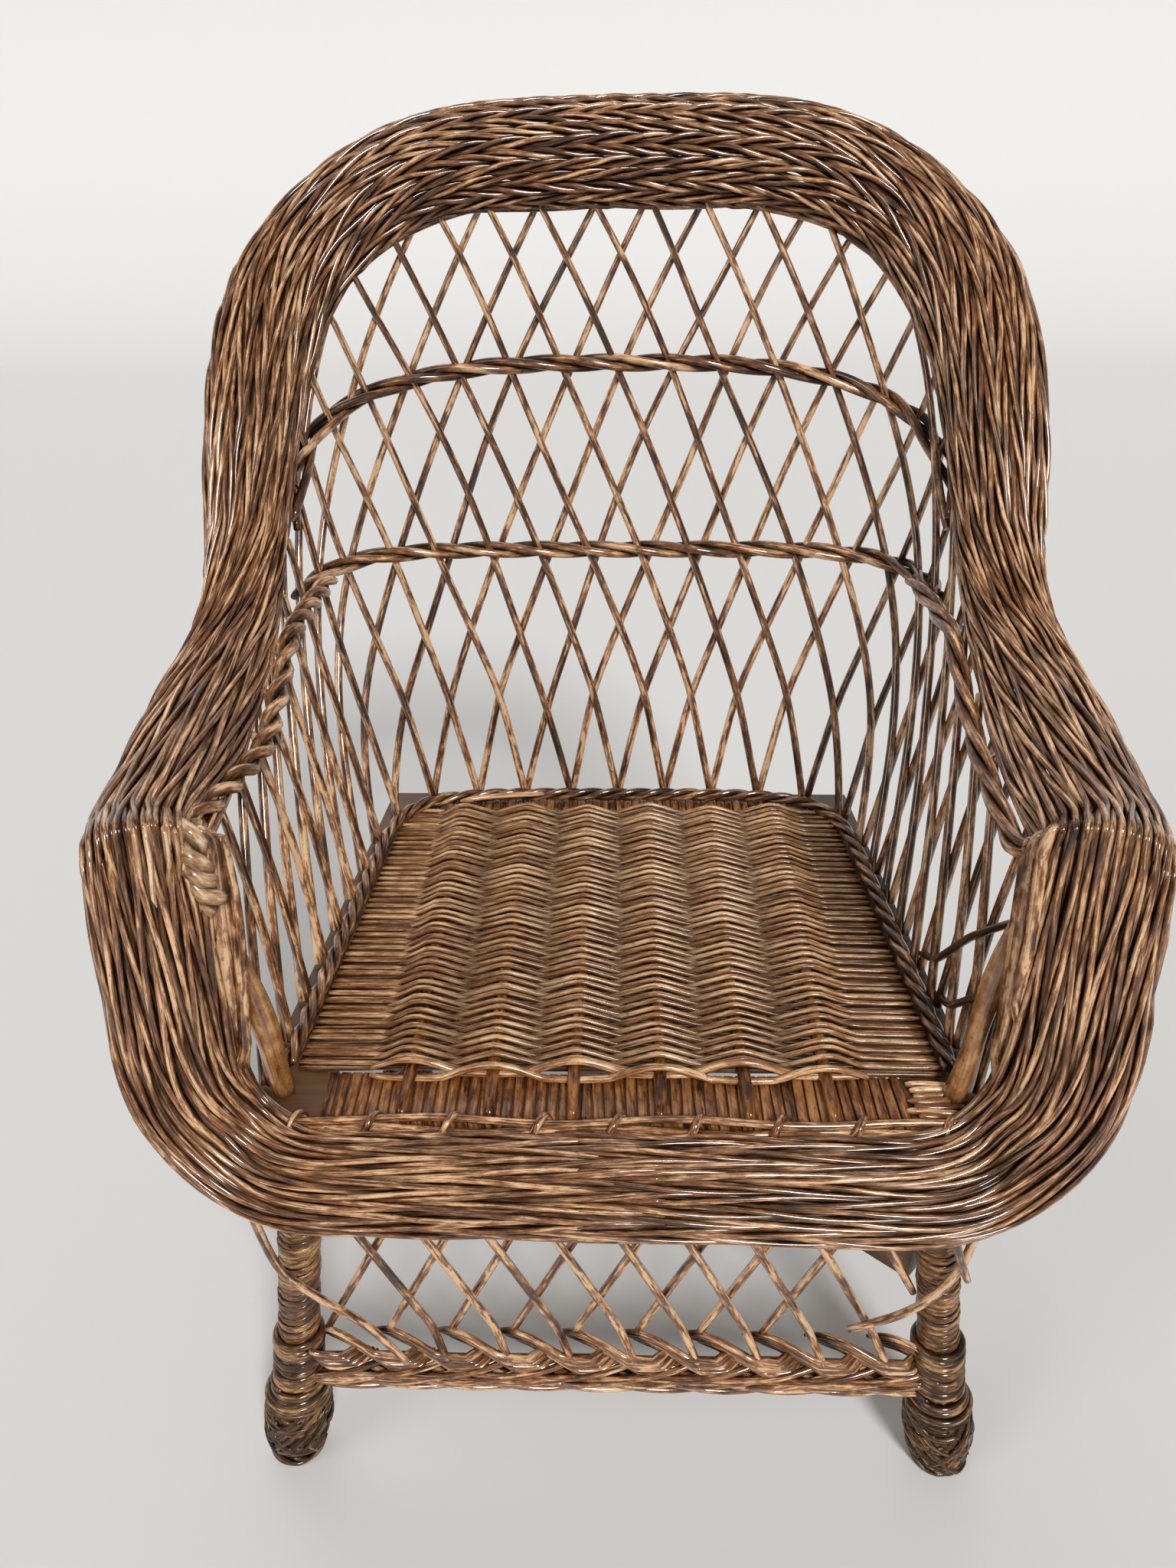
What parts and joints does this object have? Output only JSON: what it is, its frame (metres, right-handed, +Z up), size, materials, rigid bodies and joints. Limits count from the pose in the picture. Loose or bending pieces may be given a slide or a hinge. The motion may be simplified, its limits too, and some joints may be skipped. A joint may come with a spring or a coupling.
{
  "type": "wicker armchair",
  "caption": "Wicker armchair with crossed-rod lattice back and sides, a rolled rod border round back, arms and front, a woven seat, a lattice front skirt and wound splayed legs.",
  "frame": {"origin": "on the floor, under the middle of the chair's overall box", "axes": "+Z up, -Y towards the front of the chair, +X towards the chair's right as seen from the front"},
  "size_m": [0.6712, 0.605, 1.0054],
  "materials": {
    "roll_rods": "long willow rods, glossy mid-brown varnish",
    "lattice_rods": "thin willow rods, mottled brown varnish",
    "twined_rods": "twisted willow strands, brown varnish",
    "hoop_rods": "bent rods, dark brown varnish",
    "cane_wrap": "flat cane strip, glossy honey-brown varnish",
    "seat_weave": "woven willow, lighter honey varnish worn by use",
    "foot_weave": "woven willow strands, dark varnish",
    "plait": "plaited willow strands, brown varnish",
    "skirt_rods": "thin willow rods, brown varnish",
    "frame_wood": "sawn and round wood, brown varnish"
  },
  "bodies": {
    "root": {"back_lattice": "lattice_rods", "back_left_foot": "foot_weave", "back_left_leg": "frame_wood", "back_left_leg_winding": "cane_wrap", "back_rail_binding": "cane_wrap", "back_right_foot": "foot_weave", "back_right_leg": "frame_wood", "back_right_leg_winding": "cane_wrap", "back_roll": "roll_rods", "back_seat_rail": "frame_wood", "diagonal_brace": "frame_wood", "front_hoop": "hoop_rods", "front_left_foot": "foot_weave", "front_left_leg": "frame_wood", "front_left_leg_winding": "cane_wrap", "front_rail_binding": "cane_wrap", "front_right_foot": "foot_weave", "front_right_leg": "frame_wood", "front_right_leg_winding": "cane_wrap", "front_roll": "roll_rods", "front_seat_rail": "frame_wood", "left_arm_post": "frame_wood", "left_arm_roll": "roll_rods", "left_seat_rail": "frame_wood", "left_side_lattice": "lattice_rods", "lower_band_inner_weaver": "twined_rods", "lower_band_outer_weaver": "twined_rods", "right_arm_post": "frame_wood", "right_arm_roll": "roll_rods", "right_seat_rail": "frame_wood", "right_side_lattice": "lattice_rods", "rim_hoop": "hoop_rods", "seat_border": "twined_rods", "seat_stake_1": "seat_weave", "seat_stake_2": "seat_weave", "seat_stake_3": "seat_weave", "seat_stake_4": "seat_weave", "seat_stake_5": "seat_weave", "seat_stake_6": "seat_weave", "seat_weave": "seat_weave", "skirt_back_rod_1": "skirt_rods", "skirt_back_rod_2": "skirt_rods", "skirt_back_rod_3": "skirt_rods", "skirt_back_rod_4": "skirt_rods", "skirt_back_rod_5": "skirt_rods", "skirt_back_rod_6": "skirt_rods", "skirt_back_rod_7": "skirt_rods", "skirt_back_rod_8": "skirt_rods", "skirt_front_rod_1": "skirt_rods", "skirt_front_rod_2": "skirt_rods", "skirt_front_rod_3": "skirt_rods", "skirt_front_rod_4": "skirt_rods", "skirt_front_rod_5": "skirt_rods", "skirt_front_rod_6": "skirt_rods", "skirt_front_rod_7": "skirt_rods", "skirt_front_rod_8": "skirt_rods", "skirt_front_rod_9": "skirt_rods", "skirt_plait": "plait", "upper_band_inner_weaver": "twined_rods", "upper_band_outer_weaver": "twined_rods"}
  },
  "joints": []
}
